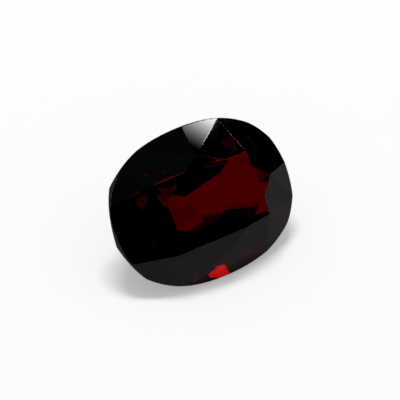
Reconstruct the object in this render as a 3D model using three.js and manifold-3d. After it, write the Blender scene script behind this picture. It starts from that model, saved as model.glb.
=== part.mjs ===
// A loose cushion-cut garnet lying on one long facet of its pavilion.
//
// The stone is cut the way a real one is. A blank with the girdle's outline is ground flat by one facet plane after
// another. In the stone's own frame x runs along its length, y across it and z out of the table, with z = 0 at the
// top of the girdle. Lengths are in millimetres and angles in degrees. The finished solid is then turned so that the
// facet it lies on faces straight down, with +Z up.

import * as THREE from "three";
import { mergeVertices } from "three/addons/utils/BufferGeometryUtils.js";
import Module from "manifold-3d";

// Driving dimensions of the girdle
const HALF_LENGTH = 4.6;
const HALF_WIDTH = 3.51;
const OUTLINE_EXPONENT = 2.34; // 2 is an ellipse, larger is squarer
const OUTLINE_STEPS = 120;
const GIRDLE_THICKNESS = 0.48;

// Driving dimensions of the crown
const CROWN_HEIGHT = 1.44;
// One row per kite, anticlockwise seen from above: table corner x and y, and the azimuth that the kite faces.
const KITES = [
  { corner: [2.32, -0.74], azimuth: -22 },
  { corner: [2.3, 0.69], azimuth: 24 },
  { corner: [1.16, 1.47], azimuth: 72 },
  { corner: [-1, 1.64], azimuth: 105 },
  { corner: [-2.35, 0.68], azimuth: 158 },
  { corner: [-2.35, -0.74], azimuth: 202 },
  { corner: [-1.07, -1.7], azimuth: 254 },
  { corner: [1.04, -1.71], azimuth: 287 },
];
// Slope of the star facet between each kite and the next one
const STAR_SLOPES = [21.5, 20.5, 18, 19, 23, 21.5, 21, 19];

// Driving dimensions of the pavilion
const KEEL_DEPTH = 3.4;
const END_DEPTH = 3.95;
const PAVILION_EDGE = 0.2;
// The stone lies on this long facet.
const REST = { azimuth: -91, slope: 50 };
// The near side, the far side, the ends and the keel. The first two tiers touch the girdle's outline at one level,
// measured down from the girdle's top. The facets of the other two cross the stone's axis at one depth.
const PAVILION_TIERS = [
  {
    level: PAVILION_EDGE,
    facets: [
      REST,
      { azimuth: -64.5, slope: 46.5 },
      { azimuth: -118.5, slope: 44.5 },
      { azimuth: -155, slope: 50 },
    ],
  },
  {
    level: PAVILION_EDGE,
    facets: [
      { azimuth: 64.5, slope: 50 },
      { azimuth: 80, slope: 43.5 },
      { azimuth: 96, slope: 47 },
      { azimuth: 115.5, slope: 46.5 },
      { azimuth: 164.5, slope: 43 },
    ],
  },
  {
    depth: END_DEPTH,
    facets: [{ azimuth: 15.5, slope: 36.5 }, { azimuth: -15.5, slope: 34.5 }, { azimuth: -164.5, slope: 35 }],
  },
  {
    depth: KEEL_DEPTH,
    facets: [
      { azimuth: 59, slope: 27.5 },
      { azimuth: 121, slope: 17 },
      { azimuth: -121, slope: 24.5 },
      { azimuth: -59, slope: 19.5 },
    ],
  },
];

// Look of the garnet: nearly black dark red, polished
const GARNET_COLOUR = 0x2a0004;
const GARNET_ROUGHNESS = 0.05;

// How far the uncut blank runs past the table and past the keel
const BLANK_MARGIN = 1;
// Size of the block that stands for one pass of the grinding wheel
const LAP_SIZE = 40;

const radians = THREE.MathUtils.degToRad;

const wasm = await Module();
wasm.setup();

/** Turns a closed three.js geometry into a solid. */
function toSolid(geometry) {
  const bare = geometry.clone();
  bare.deleteAttribute("normal");
  bare.deleteAttribute("uv");
  const merged = mergeVertices(bare);
  return new wasm.Manifold(new wasm.Mesh({
    numProp: 3,
    vertProperties: new Float32Array(merged.attributes.position.array),
    triVerts: new Uint32Array(merged.index.array),
  }));
}

/** Turns a solid back into a three.js geometry. */
function toGeometry(solid) {
  const mesh = solid.getMesh();
  const geometry = new THREE.BufferGeometry();
  geometry.setAttribute("position", new THREE.BufferAttribute(mesh.vertProperties, 3));
  geometry.setIndex(new THREE.BufferAttribute(mesh.triVerts, 1));
  return geometry;
}

/** Horizontal unit vector at an azimuth. */
function heading(azimuth) {
  return new THREE.Vector3(Math.cos(radians(azimuth)), Math.sin(radians(azimuth)), 0);
}

/** Outward normal of a facet. A slope of 0 faces straight up, 90 faces sideways and 180 faces straight down. */
function facetNormal(azimuth, slope) {
  return heading(azimuth).multiplyScalar(Math.sin(radians(slope))).setZ(Math.cos(radians(slope)));
}

/** Point of the girdle's outline whose tangent faces an azimuth. */
function rimTowards(azimuth) {
  const aim = heading(azimuth);
  const dual = OUTLINE_EXPONENT / (OUTLINE_EXPONENT - 1);
  const along = HALF_LENGTH * Math.abs(aim.x);
  const across = HALF_WIDTH * Math.abs(aim.y);
  const reach = (along ** dual + across ** dual) ** (1 / dual);
  const power = 1 / (OUTLINE_EXPONENT - 1);
  return new THREE.Vector3(
    Math.sign(aim.x) * HALF_LENGTH * (along / reach) ** power,
    Math.sign(aim.y) * HALF_WIDTH * (across / reach) ** power,
    0,
  );
}

/** Facet plane through three points, facing away from the stone's middle. */
function planeThrough(a, b, c) {
  const middle = new THREE.Vector3(0, 0, -GIRDLE_THICKNESS);
  const plane = new THREE.Plane().setFromCoplanarPoints(a, b, c);
  return plane.distanceToPoint(middle) > 0 ? plane.negate() : plane;
}

/** Facet plane facing an azimuth at a slope, through a point. */
function planeAt(azimuth, slope, point) {
  return new THREE.Plane().setFromNormalAndCoplanarPoint(facetNormal(azimuth, slope), point);
}

/** The uncut blank: the girdle's outline run up past the table and down past the keel. */
function blank() {
  const outline = [];
  for (let step = 0; step < OUTLINE_STEPS; step++) {
    const point = rimTowards((360 * step) / OUTLINE_STEPS);
    outline.push(new THREE.Vector2(point.x, point.y));
  }
  const above = CROWN_HEIGHT + BLANK_MARGIN;
  const below = KEEL_DEPTH + BLANK_MARGIN;
  const geometry = new THREE.ExtrudeGeometry(new THREE.Shape(outline), {
    depth: above + below,
    bevelEnabled: false,
  });
  return toSolid(geometry.translate(0, 0, -below));
}

/** The table and the crown: eight kites, eight stars between them and sixteen facets down to the girdle. */
function crownPlanes() {
  const planes = [new THREE.Plane(new THREE.Vector3(0, 0, 1), -CROWN_HEIGHT)];
  const corners = KITES.map(({ corner }) => new THREE.Vector3(corner[0], corner[1], CROWN_HEIGHT));
  // A kite touches the girdle's upper edge at one point and passes through its table corner.
  const rims = KITES.map(({ azimuth }) => rimTowards(azimuth));
  const kites = KITES.map(({ azimuth }, i) => {
    const run = rims[i].clone().sub(corners[i]).dot(heading(azimuth));
    return planeAt(azimuth, THREE.MathUtils.radToDeg(Math.atan2(CROWN_HEIGHT, run)), corners[i]);
  });
  planes.push(...kites);
  KITES.forEach(({ azimuth }, i) => {
    const next = (i + 1) % KITES.length;
    // A star runs down from the table's edge between two corners.
    const edge = corners[next].clone().sub(corners[i]);
    const faces = THREE.MathUtils.radToDeg(Math.atan2(-edge.x, edge.y));
    const star = planeAt(faces, STAR_SLOPES[i], corners[i]);
    planes.push(star);
    // Two facets run from the star's tip to the girdle, one towards each kite.
    const tip = meet(star, kites[i], kites[next]);
    const turn = (KITES[next].azimuth - azimuth + 360) % 360;
    const between = rimTowards(azimuth + turn / 2);
    planes.push(planeThrough(tip, rims[i], between));
    planes.push(planeThrough(tip, between, rims[next]));
  });
  return planes;
}

/** Point where three planes meet. */
function meet(a, b, c) {
  const rows = new THREE.Matrix3().set(...a.normal.toArray(), ...b.normal.toArray(), ...c.normal.toArray());
  return new THREE.Vector3(-a.constant, -b.constant, -c.constant).applyMatrix3(rows.invert());
}

/** The pavilion, tier by tier. */
function pavilionPlanes() {
  return PAVILION_TIERS.flatMap(({ level, depth, facets }) => facets.map(({ azimuth, slope }) => {
    const point = depth ? new THREE.Vector3(0, 0, -depth) : rimTowards(azimuth).setZ(-level);
    return planeAt(azimuth, 180 - slope, point);
  }));
}

/** A block whose bottom face lies on a facet plane and whose body covers everything outside that plane. */
function lap(plane) {
  const block = new THREE.BoxGeometry(LAP_SIZE, LAP_SIZE, LAP_SIZE).translate(0, 0, LAP_SIZE / 2);
  const turn = new THREE.Quaternion().setFromUnitVectors(new THREE.Vector3(0, 0, 1), plane.normal);
  const foot = plane.normal.clone().multiplyScalar(-plane.constant);
  return toSolid(block.applyQuaternion(turn).translate(foot.x, foot.y, foot.z));
}

/** The cut stone in its own frame. */
function cutStone() {
  return [...crownPlanes(), ...pavilionPlanes()].reduce((stone, plane) => stone.subtract(lap(plane)), blank());
}

/** Lays the stone on its resting facet, with the middle of its footprint box at the origin. */
function layDown(geometry) {
  geometry.rotateZ(radians(-90 - REST.azimuth));
  geometry.rotateX(radians(REST.slope));
  geometry.computeBoundingBox();
  const { min, max } = geometry.boundingBox;
  return geometry.translate(-(min.x + max.x) / 2, -(min.y + max.y) / 2, -min.z);
}

/** The garnet as a named mesh. */
function garnet() {
  const material = new THREE.MeshStandardMaterial({
    color: GARNET_COLOUR,
    roughness: GARNET_ROUGHNESS,
    metalness: 0,
    flatShading: true,
  });
  const mesh = new THREE.Mesh(layDown(toGeometry(cutStone())), material);
  mesh.name = "garnet";
  return mesh;
}

const stone = new THREE.Group();
stone.add(garnet());

export default stone;
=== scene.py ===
"""A loose cushion-cut garnet lying on one facet of its pavilion, on a pale table in a dark studio.

The stone keeps the solid's facets and gets the fine round that polishing leaves on their edges. Its colour
is all in its body: light is bent at the facets and loses its green and blue on the way through, so red shows
only where a path through the stone leads out to something bright. Lengths are in millimetres until they go
into a mesh, and angles are in degrees.
"""

import logging
import math
from dataclasses import dataclass, field
from enum import Enum

import bmesh
import bpy
import numpy as np
from mathutils import Euler, Matrix, Vector


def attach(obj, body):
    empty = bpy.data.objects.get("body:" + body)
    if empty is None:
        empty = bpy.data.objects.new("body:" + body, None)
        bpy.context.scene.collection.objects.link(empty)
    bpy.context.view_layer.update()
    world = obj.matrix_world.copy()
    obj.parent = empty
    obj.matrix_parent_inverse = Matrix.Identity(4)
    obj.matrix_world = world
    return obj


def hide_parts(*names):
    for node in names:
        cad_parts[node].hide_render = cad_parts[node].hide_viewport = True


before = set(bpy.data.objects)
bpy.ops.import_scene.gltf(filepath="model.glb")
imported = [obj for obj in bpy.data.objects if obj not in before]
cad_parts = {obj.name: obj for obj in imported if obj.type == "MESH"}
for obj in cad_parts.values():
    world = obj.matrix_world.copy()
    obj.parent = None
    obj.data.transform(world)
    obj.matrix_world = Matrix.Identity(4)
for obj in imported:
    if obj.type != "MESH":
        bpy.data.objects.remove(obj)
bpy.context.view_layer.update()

MM = 0.001
GIRDLE_MASK = "girdle"
CARD_PLACE = "card_mm"
# Point close to the middle of the stone that the cards face
STONE_MIDDLE = (0.0, -0.205, 2.816)
UP = (0.0, 0.0, 1.0)
# Sockets of a Mix node that mixes colours, whose names it shares with those for numbers
MIX_FIRST, MIX_SECOND, MIX_RESULT = 6, 7, 2
log = logging.getLogger("garnet")


class Ground(Enum):
    """How a face of the stone was finished, as the value of its girdle mask."""

    POLISHED_FACET = 0.0
    BRUTED_GIRDLE = 1.0


def new_tree(owner: bpy.types.Material | bpy.types.World) -> bpy.types.NodeTree:
    """Switches an owner to nodes and empties its tree.

    Args:
        owner: Material or world that gets the nodes.

    Returns:
        The owner's empty node tree.
    """
    owner.use_nodes = True
    owner.node_tree.nodes.clear()
    return owner.node_tree


def add_node(
    tree: bpy.types.NodeTree, kind: str, inputs: dict | None = None, **settings: object
) -> bpy.types.Node:
    """Adds a node, sets its options, and fills or links its inputs.

    Args:
        tree: Tree that gets the node.
        kind: Type name without its leading ShaderNode.
        inputs: Socket name or number to a plain value, or to another node's output, which is linked.
        **settings: Options of the node itself.

    Returns:
        The new node.
    """
    node = tree.nodes.new("ShaderNode" + kind)
    for name, value in settings.items():
        setattr(node, name, value)
    for name, value in (inputs or {}).items():
        if isinstance(value, bpy.types.NodeSocket):
            tree.links.new(value, node.inputs[name])
        else:
            node.inputs[name].default_value = value
    return node


def new_group(
    name: str, inputs: dict[str, float], outputs: list[str]
) -> tuple[bpy.types.NodeTree, bpy.types.Node, bpy.types.Node]:
    """Starts a shader node group with named number sockets.

    Args:
        name: Name of the group.
        inputs: Name and default of each input.
        outputs: Name of each output.

    Returns:
        The group's tree, its input node and its output node.
    """
    tree = bpy.data.node_groups.new(name, "ShaderNodeTree")
    for socket, default in inputs.items():
        given = tree.interface.new_socket(socket, in_out="INPUT", socket_type="NodeSocketFloat")
        given.default_value = default
    for socket in outputs:
        tree.interface.new_socket(socket, in_out="OUTPUT", socket_type="NodeSocketFloat")
    return tree, tree.nodes.new("NodeGroupInput"), tree.nodes.new("NodeGroupOutput")


def soft_edge_group() -> bpy.types.NodeTree:
    """Builds the fall-off of a lit card towards a side: the square of distance over fade, at most one.

    Returns:
        The group, with inputs Distance and Fade and output Share.
    """
    tree, given, result = new_group("soft_edge", {"Distance": 1.0, "Fade": 1.0}, ["Share"])
    distances = {0: given.outputs["Distance"], 1: given.outputs["Fade"]}
    part = add_node(tree, "Math", distances, operation="DIVIDE", use_clamp=True)
    share = add_node(tree, "Math", {0: part.outputs[0], 1: 2.0}, operation="POWER")
    tree.links.new(share.outputs[0], result.inputs["Share"])
    return tree


@dataclass(frozen=True)
class LapPolish:
    """What the lap leaves on a stone: a slow waviness, hair-fine lines and faint haze in patches.

    Attributes:
        line_stretch: Stretch of the pattern of lines, small along the lines.
        line_turn: Turn of the lines, in radians.
        line_depth: Depth of the lines as a share of the waviness.
        haze_range: Values of the pattern of lines between which haze sets in.
    """

    line_stretch: tuple[float, float, float] = (1.0, 0.06, 1.0)
    line_turn: tuple[float, float, float] = (0.3, 0.5, 0.6)
    line_depth: float = 0.02
    haze_range: tuple[float, float] = (0.45, 0.75)

    def build(self) -> bpy.types.NodeTree:
        """Builds the polish as a group.

        Returns:
            The group, with inputs Wave Size and Line Size in millimetres and outputs Height and Haze.
        """
        sizes = {"Wave Size": 1.0, "Line Size": 0.05}
        tree, given, result = new_group("lap_polish", sizes, ["Height", "Haze"])
        place = add_node(tree, "TexCoord")
        in_mm = add_node(tree, "VectorMath", {0: place.outputs["Object"], "Scale": 1 / MM}, operation="SCALE")
        wave_rate = self.rate(tree, given.outputs["Wave Size"])
        waves = {"Vector": in_mm.outputs[0], "Scale": wave_rate, "Detail": 1.0}
        wave = add_node(tree, "TexNoise", waves)
        along = {"Vector": in_mm.outputs[0], "Scale": self.line_stretch, "Rotation": self.line_turn}
        stretched = add_node(tree, "Mapping", along)
        line_rate = self.rate(tree, given.outputs["Line Size"])
        hairs = {"Vector": stretched.outputs[0], "Scale": line_rate, "Detail": 2.0}
        lines = add_node(tree, "TexNoise", hairs)
        fine = add_node(tree, "Math", {0: lines.outputs["Fac"], 1: self.line_depth}, operation="MULTIPLY")
        height = add_node(tree, "Math", {0: wave.outputs["Fac"], 1: fine.outputs[0]}, operation="ADD")
        start, end = self.haze_range
        haze = add_node(tree, "MapRange", {"Value": lines.outputs["Fac"], "From Min": start, "From Max": end})
        tree.links.new(height.outputs[0], result.inputs["Height"])
        tree.links.new(haze.outputs["Result"], result.inputs["Haze"])
        return tree

    def rate(self, tree: bpy.types.NodeTree, size: bpy.types.NodeSocket) -> bpy.types.NodeSocket:
        """Turns the size of a pattern into its scale, which is one over the size."""
        return add_node(tree, "Math", {0: 1.0, 1: size}, operation="DIVIDE").outputs[0]


@dataclass(frozen=True)
class GarnetFinish:
    """Clear, very dark red garnet with polished facets and a bruted girdle.

    Attributes:
        ior: Refractive index of pyrope-almandine garnet.
        tint: Base colour, which also colours what passes a facet.
        deep_tint: Base colour in the slightly denser zones of the crystal.
        zone_rate: Zones of the crystal per millimetre.
        zone_range: Values of the pattern of zones between which the base colour goes over.
        absorption_per_mm: Red, green and blue light lost per millimetre, as natural-log rates.
        facet_roughness: Roughness of a polished facet.
        haze_roughness: Roughness where the polish is a little hazy.
        girdle_roughness: Least and most roughness of the bruted girdle.
        grain_rate: Grains of the bruted girdle per millimetre.
        wave_size: Size of the facets' slow waviness.
        wave_height: Height of that waviness.
        line_size: Size of the fine lines that the lap leaves.
    """

    ior: float = 1.76
    tint: tuple[float, float, float] = (1.0, 0.3, 0.3)
    deep_tint: tuple[float, float, float] = (0.94, 0.26, 0.26)
    zone_rate: float = 0.35
    zone_range: tuple[float, float] = (0.4, 0.65)
    absorption_per_mm: tuple[float, float, float] = (0.2, 3.0, 2.4)
    facet_roughness: float = 0.0
    haze_roughness: float = 0.012
    girdle_roughness: tuple[float, float] = (0.256, 0.384)
    grain_rate: float = 12.0
    wave_size: float = 1.6
    wave_height: float = 0.0006
    line_size: float = 0.06

    def build(self, polish: bpy.types.NodeTree) -> bpy.types.Material:
        """Builds the material.

        Args:
            polish: The lap polish group.

        Returns:
            The finished material.
        """
        material = bpy.data.materials.new("dark_red_garnet")
        tree = new_tree(material)
        place = add_node(tree, "TexCoord").outputs["Object"]
        girdle = add_node(tree, "Attribute", attribute_name=GIRDLE_MASK).outputs["Fac"]
        sizes = {"Wave Size": self.wave_size, "Line Size": self.line_size}
        lap = add_node(tree, "Group", sizes, node_tree=polish)
        grains = {"Vector": place, "Scale": self.grain_rate / MM, "Detail": 2.0}
        ground = add_node(tree, "TexNoise", grains).outputs["Fac"]
        surface = add_node(tree, "BsdfPrincipled", {
            "Base Color": self.colour(tree, place),
            "Metallic": 0.0,
            "Roughness": self.roughness(tree, girdle, lap.outputs["Haze"], ground),
            "IOR": self.ior,
            "Transmission Weight": 1.0,
            "Normal": self.relief(tree, girdle, lap.outputs["Height"], ground),
        })
        # the densest channel sets the density, and the colour gives the others their share of it
        strongest = max(self.absorption_per_mm)
        body = add_node(tree, "VolumeAbsorption", {
            "Color": (*(1 - rate / strongest for rate in self.absorption_per_mm), 1.0),
            "Density": strongest / MM,
        })
        both = {"Surface": surface.outputs["BSDF"], "Volume": body.outputs["Volume"]}
        add_node(tree, "OutputMaterial", both)
        return material

    def colour(self, tree: bpy.types.NodeTree, place: bpy.types.NodeSocket) -> bpy.types.NodeSocket:
        """Builds the base colour, a little deeper in some zones.

        Args:
            tree: The material's tree.
            place: Place on the stone.

        Returns:
            The colour.
        """
        zones = add_node(tree, "TexNoise", {"Vector": place, "Scale": self.zone_rate / MM, "Detail": 2.0})
        start, end = self.zone_range
        zone = add_node(tree, "MapRange", {"Value": zones.outputs["Fac"], "From Min": start, "From Max": end})
        tints = {
            "Factor": zone.outputs["Result"],
            MIX_FIRST: (*self.tint, 1.0),
            MIX_SECOND: (*self.deep_tint, 1.0),
        }
        return add_node(tree, "Mix", tints, data_type="RGBA").outputs[MIX_RESULT]

    def roughness(
        self,
        tree: bpy.types.NodeTree,
        girdle: bpy.types.NodeSocket,
        haze: bpy.types.NodeSocket,
        ground: bpy.types.NodeSocket,
    ) -> bpy.types.NodeSocket:
        """Builds the roughness, hazy in patches on the facets and matt on the girdle.

        Args:
            tree: The material's tree.
            girdle: Mask of the girdle.
            haze: Mask of the haze.
            ground: Pattern of grains.

        Returns:
            The roughness.
        """
        clear = {"Value": haze, "To Min": self.facet_roughness, "To Max": self.haze_roughness}
        least, most = self.girdle_roughness
        matt = {"Value": ground, "To Min": least, "To Max": most}
        facet = add_node(tree, "MapRange", clear).outputs["Result"]
        bruted = add_node(tree, "MapRange", matt).outputs["Result"]
        either = {"Factor": girdle, "A": facet, "B": bruted}
        return add_node(tree, "Mix", either, data_type="FLOAT").outputs[0]

    def relief(
        self,
        tree: bpy.types.NodeTree,
        girdle: bpy.types.NodeSocket,
        waves: bpy.types.NodeSocket,
        ground: bpy.types.NodeSocket,
    ) -> bpy.types.NodeSocket:
        """Builds the fine relief, with grains on the girdle alone.

        Args:
            tree: The material's tree.
            girdle: Mask of the girdle.
            waves: Height of the waviness.
            ground: Pattern of grains.

        Returns:
            The normal.
        """
        grain = add_node(tree, "Math", {0: ground, 1: girdle}, operation="MULTIPLY")
        height = add_node(tree, "Math", {0: waves, 1: grain.outputs[0]}, operation="ADD")
        bump = {"Strength": 1.0, "Distance": self.wave_height * MM, "Height": height.outputs[0]}
        return add_node(tree, "Bump", bump).outputs["Normal"]


@dataclass
class CutStone:
    """The stone: the solid's facets, each one face again, with their edges rounded by polishing.

    Attributes:
        node: Name of the solid that the stone takes its facets from.
        same_corner: Distance under which corners of the solid are one corner.
        shortest_edge: Shorter edges are closed up, so that every edge has room for its round.
        smallest_facet: Area under which a face is too small to give its facet's plane.
        flat_angle: Faces that lie closer than this to one plane are one facet.
        upright: Largest cosine between the table's facing and that of a face of the girdle.
        rim_round: Width of the round on the two edges of the girdle.
        edge_round: Width of the round on an edge between two facets.
        round_steps: Number of faces across a round.
        settle_steps: How often stray corners are moved back.
        edge_angle: Edges flatter than this aren't rounded.
        finish: The garnet.
        polish: What the lap leaves on it.
    """

    node: str = "garnet"
    same_corner: float = 0.0005
    shortest_edge: float = 0.03
    smallest_facet: float = 0.004
    flat_angle: float = 0.05
    upright: float = 0.02
    rim_round: float = 0.04
    edge_round: float = 0.014
    round_steps: int = 3
    settle_steps: int = 12
    edge_angle: float = 6.0
    finish: GarnetFinish = field(default_factory=GarnetFinish)
    polish: LapPolish = field(default_factory=LapPolish)

    def facet_planes(self, shape: bmesh.types.BMesh) -> np.ndarray:
        """Reads the planes of the facets.

        Args:
            shape: The solid with one face for each facet.

        Returns:
            Outward normal and distance from the origin of each facet, one row each.
        """
        shape.normal_update()
        facets = [face for face in shape.faces if face.calc_area() > self.smallest_facet * MM ** 2]
        return np.array([(*face.normal, face.normal.dot(face.calc_center_median())) for face in facets])

    def mark_girdle(self, shape: bmesh.types.BMesh) -> None:
        """Marks the girdle, which alone stands square to the table, and shades it smooth.

        Args:
            shape: The stone with one face for each facet, which is changed.
        """
        shape.normal_update()
        # the table is the largest facet
        table = max(shape.faces, key=lambda face: face.calc_area()).normal.copy()
        mask = shape.faces.layers.float.new(GIRDLE_MASK)
        for face in shape.faces:
            girdle = abs(face.normal.dot(table)) < self.upright
            face[mask] = (Ground.BRUTED_GIRDLE if girdle else Ground.POLISHED_FACET).value
            face.smooth = girdle

    def sharp_edges(self, shape: bmesh.types.BMesh) -> list[bmesh.types.BMEdge]:
        """Finds the edges that are steep enough to be rounded."""
        return [edge for edge in shape.edges if edge.calc_face_angle(0) > math.radians(self.edge_angle)]

    def round_off(
        self, shape: bmesh.types.BMesh, edges: list[bmesh.types.BMEdge], width: float
    ) -> set[bmesh.types.BMFace]:
        """Rounds edges off.

        Args:
            shape: The stone, which is changed.
            edges: Edges to round.
            width: Width of the round on each side of an edge.

        Returns:
            The new faces.
        """
        made = bmesh.ops.bevel(
            shape, geom=edges, offset=width * MM, offset_type="OFFSET", segments=self.round_steps,
            profile=0.5, affect="EDGES", clamp_overlap=False,
        )
        for face in made["faces"]:
            face.smooth = True
        shape.normal_update()
        return set(made["faces"])

    def round_edges(self, shape: bmesh.types.BMesh) -> None:
        """Rounds the girdle's two edges off, and then the edges between facets.

        Args:
            shape: The stone with its girdle marked, which is changed.
        """
        rim = [edge for edge in self.sharp_edges(shape) if any(face.smooth for face in edge.link_faces)]
        rounded = self.round_off(shape, rim, self.rim_round)
        sharp = self.sharp_edges(shape)
        ridges = [edge for edge in sharp if not any(face in rounded for face in edge.link_faces)]
        self.round_off(shape, ridges, self.edge_round)

    def keep_inside(self, mesh: bpy.types.Mesh, planes: np.ndarray) -> None:
        """Moves corners that a round has thrown past a facet back onto that facet.

        A corner's height over every facet plane is its dot product with the normal, less the plane's distance.
        The largest height that isn't negative is taken off along that normal, a few times over.

        Args:
            mesh: The rounded stone, which is changed.
            planes: Normal and distance of each facet.
        """
        corners = np.empty(len(mesh.vertices) * 3)
        mesh.vertices.foreach_get("co", corners)
        corners = corners.reshape(-1, 3)
        for _ in range(self.settle_steps):
            height = corners @ planes[:, :3].T - planes[:, 3]
            worst = height.argmax(axis=1)
            over = np.maximum(height[np.arange(len(corners)), worst], 0)
            corners -= over[:, None] * planes[worst, :3]
        mesh.vertices.foreach_set("co", corners.ravel())
        mesh.update()

    def build(self) -> bpy.types.Object:
        """Builds the stone from a merged copy of the solid's mesh, and lets it stand for the solid.

        Returns:
            The finished piece.
        """
        shape = bmesh.new()
        shape.from_mesh(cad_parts[self.node].data)
        bmesh.ops.remove_doubles(shape, verts=shape.verts, dist=self.same_corner * MM)
        flat = math.radians(self.flat_angle)
        bmesh.ops.dissolve_limit(shape, angle_limit=flat, verts=shape.verts, edges=shape.edges)
        planes = self.facet_planes(shape)
        bmesh.ops.remove_doubles(shape, verts=shape.verts, dist=self.shortest_edge * MM)
        self.mark_girdle(shape)
        log.info("cut_garnet: %d faces before its edges are rounded", len(shape.faces))
        self.round_edges(shape)
        mesh = bpy.data.meshes.new("cut_garnet")
        shape.to_mesh(mesh)
        shape.free()
        self.keep_inside(mesh, planes)
        mesh.materials.append(self.finish.build(self.polish.build()))
        piece = bpy.data.objects.new("cut_garnet", mesh)
        bpy.context.scene.collection.objects.link(piece)
        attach(piece, "root")
        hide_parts(self.node)
        return piece


@dataclass(frozen=True)
class View:
    """The photograph's camera, far off behind a long lens.

    Attributes:
        heading: Turn about the vertical.
        elevation: Height of the view above the table's plane.
        roll: Turn about the line of sight.
        look_at: Point in the middle of the picture.
        frame_width: Width that the picture shows at that point.
        distance: Distance of the camera from that point.
        sensor_width: Width of the camera's sensor.
        clip_range: Nearest and farthest distance that the camera sees.
    """

    heading: float = -34.07
    elevation: float = 39.70
    roll: float = 0.94
    look_at: tuple[float, float, float] = (-0.051, -0.113, 2.873)
    frame_width: float = 18.05
    distance: float = 500.0
    sensor_width: float = 36.0
    clip_range: tuple[float, float] = (10.0, 2000.0)

    def axes(self) -> Matrix:
        """Works out the camera's right, up and back directions, as the columns of a matrix."""
        level = Euler((math.radians(90 - self.elevation), 0, math.radians(self.heading)), "XYZ").to_matrix()
        return level @ Matrix.Rotation(math.radians(self.roll), 3, "Z")

    def towards(self, azimuth: float, elevation: float) -> Vector:
        """Finds a direction in the studio.

        Args:
            azimuth: Angle to the right from straight behind the stone, as the camera sees it.
            elevation: Angle above the table.

        Returns:
            The direction as a unit vector.
        """
        back = self.axes().col[2]
        behind = Vector((-back.x, -back.y, 0)).normalized()
        right = behind.cross(Vector(UP))
        turn, rise = math.radians(azimuth), math.radians(elevation)
        level = behind * math.cos(turn) + right * math.sin(turn)
        return level * math.cos(rise) + Vector(UP) * math.sin(rise)

    def build(self) -> bpy.types.Object:
        """Sets the camera up and makes it the scene's camera."""
        data = bpy.data.cameras.new("camera")
        data.sensor_width = self.sensor_width
        data.lens = self.sensor_width * self.distance / self.frame_width
        data.clip_start, data.clip_end = (length * MM for length in self.clip_range)
        camera = bpy.data.objects.new("camera", data)
        axes = self.axes()
        stand = Vector(self.look_at) + axes.col[2] * self.distance
        camera.matrix_world = Matrix.Translation(stand * MM) @ axes.to_4x4()
        bpy.context.scene.collection.objects.link(camera)
        bpy.context.scene.camera = camera
        return camera


@dataclass(frozen=True)
class Card:
    """A lit card or softbox that only the stone mirrors, with edges that fade out.

    Attributes:
        name: Name of the card.
        azimuth: Angle of the card's aim point to the right from straight behind the stone.
        elevation: Angle of the aim point above the table.
        distance: Distance of the aim point from the stone.
        turn: Turn of the card in its own plane.
        sides: Left, right, lower and upper side, measured from the aim point.
        fades: Width of the fade along each of those sides.
        strength: Brightness in the middle.
    """

    name: str
    azimuth: float
    elevation: float
    distance: float
    turn: float
    sides: tuple[float, float, float, float]
    fades: tuple[float, float, float, float]
    strength: float

    def build(self, view: View, edge: bpy.types.NodeTree) -> bpy.types.Object:
        """Builds the card, facing the stone.

        Args:
            view: The camera that the azimuth is measured from.
            edge: The soft edge group.

        Returns:
            The card.
        """
        aim = view.towards(self.azimuth, self.elevation)
        level = aim.cross(Vector(UP)).normalized()
        across = Matrix.Rotation(math.radians(-self.turn), 3, aim) @ level
        rise = across.cross(aim)
        left, right, low, high = self.sides
        grid = np.array([(left, low), (right, low), (right, high), (left, high)])
        middle = np.array(STONE_MIDDLE) + np.array(aim) * self.distance
        corners = middle + grid[:, :1] * np.array(across) + grid[:, 1:] * np.array(rise)
        mesh = bpy.data.meshes.new(self.name)
        # the corners are taken backwards, so that the card's front is towards the stone
        mesh.from_pydata((corners * MM).tolist(), [], [(3, 2, 1, 0)])
        uv = mesh.uv_layers.new(name=CARD_PLACE)
        uv.data.foreach_set("uv", grid[::-1].astype(np.float32).ravel())
        mesh.materials.append(self.material(edge))
        card = bpy.data.objects.new(self.name, mesh)
        bpy.context.scene.collection.objects.link(card)
        card.visible_camera = card.visible_diffuse = card.visible_shadow = False
        return card

    def material(self, edge: bpy.types.NodeTree) -> bpy.types.Material:
        """Builds the card's glow, which fades towards each side.

        Args:
            edge: The soft edge group.

        Returns:
            The material.
        """
        material = bpy.data.materials.new(self.name)
        tree = new_tree(material)
        place = add_node(tree, "UVMap", uv_map=CARD_PLACE)
        split = add_node(tree, "SeparateXYZ", {0: place.outputs[0]})
        level = self.strength
        # a lower side is measured forwards from, an upper side backwards
        for axis, sign, side, fade in zip("XXYY", (1.0, -1.0, 1.0, -1.0), self.sides, self.fades):
            inward = {0: split.outputs[axis], 1: sign, 2: -sign * side}
            depth = add_node(tree, "Math", inward, operation="MULTIPLY_ADD")
            share = add_node(tree, "Group", {"Distance": depth.outputs[0], "Fade": fade}, node_tree=edge)
            dimmed = add_node(tree, "Math", {0: share.outputs["Share"], 1: level}, operation="MULTIPLY")
            level = dimmed.outputs[0]
        glow = add_node(tree, "Emission", {"Strength": level})
        add_node(tree, "OutputMaterial", {"Surface": glow.outputs[0]})
        return material


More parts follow.
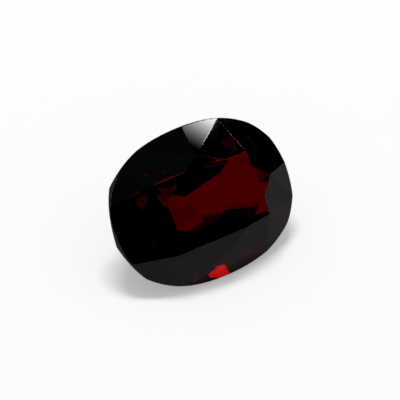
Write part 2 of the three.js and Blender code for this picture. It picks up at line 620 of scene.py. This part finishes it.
@dataclass(frozen=True)
class TableTop:
    """A round pale table top a hair under the stone.

    The camera sees it overexposed, nearly white. The stone sees a darker copy of it, painted shade, with a
    painted pool of light near the stone and a painted red glow right under it.

    Attributes:
        radius: Radius of the table top.
        corners: Number of corners of its rim.
        gap: How far it lies under the stone.
        white: Reflectance, as the camera sees it.
        even_level: Share of a white table's brightness that comes from all round and that nothing shades.
        lit: Reflectance near the stone, as the stone sees it, a cool grey: a darker copy of the white that the
            camera sees, painted shade, faded out with distance as a painted pool of light.
        painted_pool_radius: Distances from the stone between which that painted pool of light ends.
        glow: Reflectance right under the stone, as the stone sees it: a painted red glow that stands in for
            the red light that falls through the stone.
        painted_glow_radius: Distances from the stone's middle between which that painted glow ends.
    """

    radius: float = 250.0
    corners: int = 128
    gap: float = 0.03
    white: float = 0.97
    even_level: float = 0.35
    # painted shade and painted pool of light, as the stone sees the table
    lit: tuple[float, float, float] = (0.21, 0.21, 0.24)
    painted_pool_radius: tuple[float, float] = (30.0, 40.0)
    # painted red glow under the stone, as the stone sees the table
    glow: tuple[float, float, float] = (0.33, 0.21, 0.23)
    painted_glow_radius: tuple[float, float] = (2.6, 4.0)

    def build(self) -> bpy.types.Object:
        """Builds the table top: a disc of corners at equal angles.

        Returns:
            The table top.
        """
        turn = np.linspace(0, 2 * np.pi, self.corners, endpoint=False)
        rim = np.stack([np.cos(turn), np.sin(turn), np.zeros_like(turn)], axis=1) * self.radius
        rim[:, 2] = -self.gap
        mesh = bpy.data.meshes.new("table_top")
        mesh.from_pydata((rim * MM).tolist(), [], [list(range(len(rim)))])
        mesh.materials.append(self.material())
        piece = bpy.data.objects.new("table_top", mesh)
        bpy.context.scene.collection.objects.link(piece)
        return piece

    def material(self) -> bpy.types.Material:
        """Builds the two looks of the table top: white for the camera, and for the stone a darker copy,
        painted shade, with a painted pool of light and a painted red glow.

        Returns:
            The material.
        """
        material = bpy.data.materials.new("table_top")
        tree = new_tree(material)
        white = add_node(tree, "BsdfDiffuse", {"Color": (self.white,) * 3 + (1.0,)})
        even = add_node(tree, "Emission", {"Strength": self.even_level})
        seen = add_node(tree, "AddShader", {0: white.outputs[0], 1: even.outputs[0]})
        place = add_node(tree, "TexCoord")
        far = add_node(tree, "VectorMath", {0: place.outputs["Object"]}, operation="LENGTH").outputs["Value"]
        # painted pool of light: what the stone sees of the table fades to dark between two distances
        near = self.within(tree, far, self.painted_pool_radius)
        lit = add_node(tree, "VectorMath", {0: self.lit, "Scale": near}, operation="SCALE")
        # painted red glow right under the stone, in place of the light that falls through it
        colours = {
            "Factor": self.within(tree, far, self.painted_glow_radius),
            MIX_FIRST: lit.outputs["Vector"],
            MIX_SECOND: (*self.glow, 1.0),
        }
        painted_pool_and_glow = add_node(tree, "Mix", colours, data_type="RGBA").outputs[MIX_RESULT]
        # the darker copy that the stone sees: painted shade, with the painted pool of light and the painted
        # red glow
        dim = add_node(tree, "BsdfDiffuse", {"Color": painted_pool_and_glow})
        rays = add_node(tree, "LightPath").outputs["Is Camera Ray"]
        either = add_node(tree, "MixShader", {"Fac": rays, 1: dim.outputs[0], 2: seen.outputs[0]})
        add_node(tree, "OutputMaterial", {"Surface": either.outputs[0]})
        return material

    def within(
        self, tree: bpy.types.NodeTree, distance: bpy.types.NodeSocket, radii: tuple[float, float]
    ) -> bpy.types.NodeSocket:
        """Builds a mask that is one near the stone and fades to zero between two distances from it.

        Args:
            tree: The material's tree.
            distance: Distance from the stone's middle, in metres.
            radii: Distances at which the fade starts and ends.

        Returns:
            The mask.
        """
        start, end = radii
        fade = {"Value": distance, "From Min": start * MM, "From Max": end * MM, "To Min": 1.0, "To Max": 0.0}
        return add_node(tree, "MapRange", fade).outputs["Result"]


@dataclass
class Studio:
    """A pale table in a dark room, with light that falls on the table and a few cards that the stone mirrors.

    Attributes:
        view: The camera.
        table: The table top.
        key_azimuth: Angle of the key light to the right from straight behind the stone.
        key_elevation: Angle of the key light above the table.
        key_distance: Distance of the key light.
        key_size: Length and width of the key light, the length across the picture.
        key_level: Share of a white table's brightness that the key light gives.
        fill_level: Share of a white table's brightness that the fill light gives.
        fill_spread: Angle that the fill light fills.
        ceiling_azimuth: Angle of the middle of the dim ceiling to the right from straight behind the stone.
        ceiling_elevation: Angle of that middle above the table.
        ceiling_edge: Cosines of the angle from that middle between which the ceiling ends.
        ceiling: Brightness of the dim ceiling.
        backdrop: Brightness of the room where the camera looks past the table.
        cards: The cards.
    """

    view: View = field(default_factory=View)
    table: TableTop = field(default_factory=TableTop)
    key_azimuth: float = -20.0
    key_elevation: float = 80.5
    key_distance: float = 600.0
    key_size: tuple[float, float] = (220.0, 150.0)
    key_level: float = 0.44
    fill_level: float = 0.22
    fill_spread: float = 160.0
    ceiling_azimuth: float = -65.0
    ceiling_elevation: float = 74.0
    ceiling_edge: tuple[float, float] = (0.79, 0.89)
    ceiling: float = 0.02
    backdrop: float = 0.95
    cards: tuple[Card, ...] = (
        Card("softbox", 20, 45, 40, 0, (-8, 6.3, -6, 1.55), (3, 3.5, 3, 1.6), 9.0),
        Card("edge_strip", 20, 45, 40, 0, (4.5, 11, -6.6, -0.9), (0.3, 0.3, 0.3, 0.3), 2.5),
        Card("spark_lamp", -6.9, 61.1, 40, -45, (1.0, 4, -3.3, -2.4), (0.04, 0.04, 0.04, 0.04), 2.1),
        Card("left_card", -78, 30, 60, 0, (-32, 32, -20, 28), (16, 16, 12, 18), 0.6),
        Card("right_strip", 60, 45, 60, 0, (-5, 5, -22, 22), (3, 3, 9, 9), 0.5),
    )

    def lamp(self, data: bpy.types.Light, aim: Vector, across: Vector) -> bpy.types.Object:
        """Hangs a light that lights the table but isn't mirrored in the stone.

        Args:
            data: The light's data.
            aim: Direction from the stone towards the light.
            across: Direction of the light's length.

        Returns:
            The light.
        """
        light = bpy.data.objects.new(data.name, data)
        turn = Matrix((across, aim.cross(across), aim)).transposed().to_4x4()
        light.matrix_world = Matrix.Translation(aim * self.key_distance * MM) @ turn
        light.visible_camera = light.visible_glossy = light.visible_transmission = False
        bpy.context.scene.collection.objects.link(light)
        return light

    def key(self) -> bpy.types.Object:
        """Hangs the key light, a large soft lamp nearly above the stone, which throws the shadow."""
        data = bpy.data.lights.new("key", "AREA")
        data.shape = "RECTANGLE"
        data.size, data.size_y = (length * MM for length in self.key_size)
        aim = self.view.towards(self.key_azimuth, self.key_elevation)
        data.energy = self.key_level / aim.z * math.pi ** 2 * (self.key_distance * MM) ** 2
        right = self.view.towards(90, 0)
        return self.lamp(data, aim, (right - aim * aim.dot(right)).normalized())

    def fill(self) -> bpy.types.Object:
        """Hangs the fill light, as wide as the sky, which darkens the table close to the stone."""
        data = bpy.data.lights.new("fill", "SUN")
        data.angle = math.radians(self.fill_spread)
        data.energy = self.fill_level * math.pi
        return self.lamp(data, Vector(UP), Vector((1, 0, 0)))

    def room(self) -> bpy.types.World:
        """Sets the room: pale where the camera looks past the table, nearly dark where the stone looks."""
        world = bpy.data.worlds.new("studio")
        bpy.context.scene.world = world
        tree = new_tree(world)
        pale = add_node(tree, "Background", {"Color": (self.backdrop,) * 3 + (1.0,), "Strength": 1.0})
        way = add_node(tree, "TexCoord").outputs["Generated"]
        middle = self.view.towards(self.ceiling_azimuth, self.ceiling_elevation)
        near = add_node(tree, "VectorMath", {0: way, 1: middle}, operation="DOT_PRODUCT").outputs["Value"]
        start, end = self.ceiling_edge
        edge = {"Value": near, "From Min": start, "From Max": end, "To Max": self.ceiling}
        ceiling = add_node(tree, "MapRange", edge).outputs["Result"]
        dark = add_node(tree, "Background", {"Color": (1.0, 1.0, 1.0, 1.0), "Strength": ceiling})
        rays = add_node(tree, "LightPath").outputs["Is Camera Ray"]
        either = add_node(tree, "MixShader", {"Fac": rays, 1: dark.outputs[0], 2: pale.outputs[0]})
        add_node(tree, "OutputWorld", {"Surface": either.outputs[0]})
        return world

    def build(self) -> None:
        """Builds the camera, the table, the cards, the lights and the room."""
        scene = bpy.context.scene
        scene.cycles.caustics_reflective = scene.cycles.caustics_refractive = False
        scene.view_settings.view_transform = "Standard"
        self.view.build()
        self.table.build()
        edge = soft_edge_group()
        for card in self.cards:
            card.build(self.view, edge)
        self.key()
        self.fill()
        self.room()


def main() -> None:
    """Cuts the stone and sets the studio round it."""
    logging.basicConfig(level=logging.INFO, format="%(name)s: %(message)s")
    CutStone().build()
    Studio().build()


if __name__ == "__main__":
    main()
